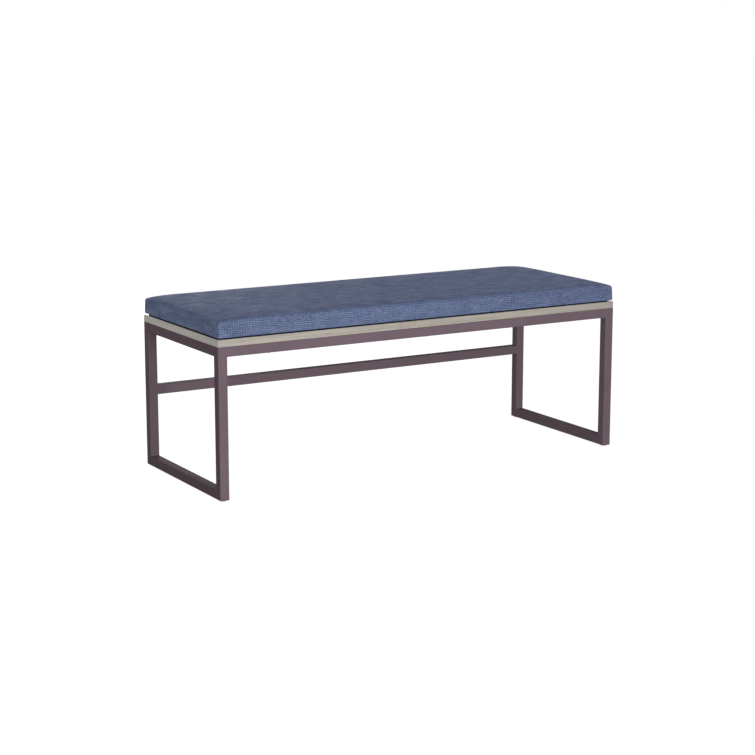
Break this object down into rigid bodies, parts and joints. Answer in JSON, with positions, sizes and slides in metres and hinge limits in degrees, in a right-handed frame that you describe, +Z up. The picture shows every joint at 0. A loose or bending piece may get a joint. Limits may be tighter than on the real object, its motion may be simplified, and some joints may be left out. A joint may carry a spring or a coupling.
{
  "type": "entryway bench",
  "caption": "Long bench with a welded square-tube steel frame, a bleached wood seat panel and a fitted cushion in blue woven fabric, open below for shoes.",
  "frame": {"origin": "on the floor, under the middle of the bench", "axes": "+X along the bench to the right as seen from the front, the front faces -Y, +Z up"},
  "size_m": [1.2192, 0.4572, 0.4665],
  "materials": {
    "powder_coated_steel": "satin",
    "bleached_oak": "matte",
    "birch_plywood": "matte",
    "woven_blue_fabric": "matte",
    "black_felt": "matte",
    "polyurethane_foam": "matte",
    "zinc_plated_steel": "satin",
    "black_nylon": "matte"
  },
  "bodies": {
    "root": {"access_plugs": "black_nylon", "cover_staples": "zinc_plated_steel", "cushion_board": "birch_plywood", "cushion_cover": "woven_blue_fabric", "cushion_screws": "zinc_plated_steel", "felt_underlay": "black_felt", "foam_block": "polyurethane_foam", "front_left_glide": "black_nylon", "front_left_leg": "powder_coated_steel", "front_rail": "powder_coated_steel", "front_right_glide": "black_nylon", "front_right_leg": "powder_coated_steel", "left_end_rail": "powder_coated_steel", "left_floor_runner": "powder_coated_steel", "panel_inserts": "zinc_plated_steel", "panel_screws": "zinc_plated_steel", "rear_left_glide": "black_nylon", "rear_left_leg": "powder_coated_steel", "rear_rail": "powder_coated_steel", "rear_right_glide": "black_nylon", "rear_right_leg": "powder_coated_steel", "rear_stretcher": "powder_coated_steel", "right_end_rail": "powder_coated_steel", "right_floor_runner": "powder_coated_steel", "seat_panel": "bleached_oak", "weld_fills": "powder_coated_steel"}
  },
  "joints": []
}
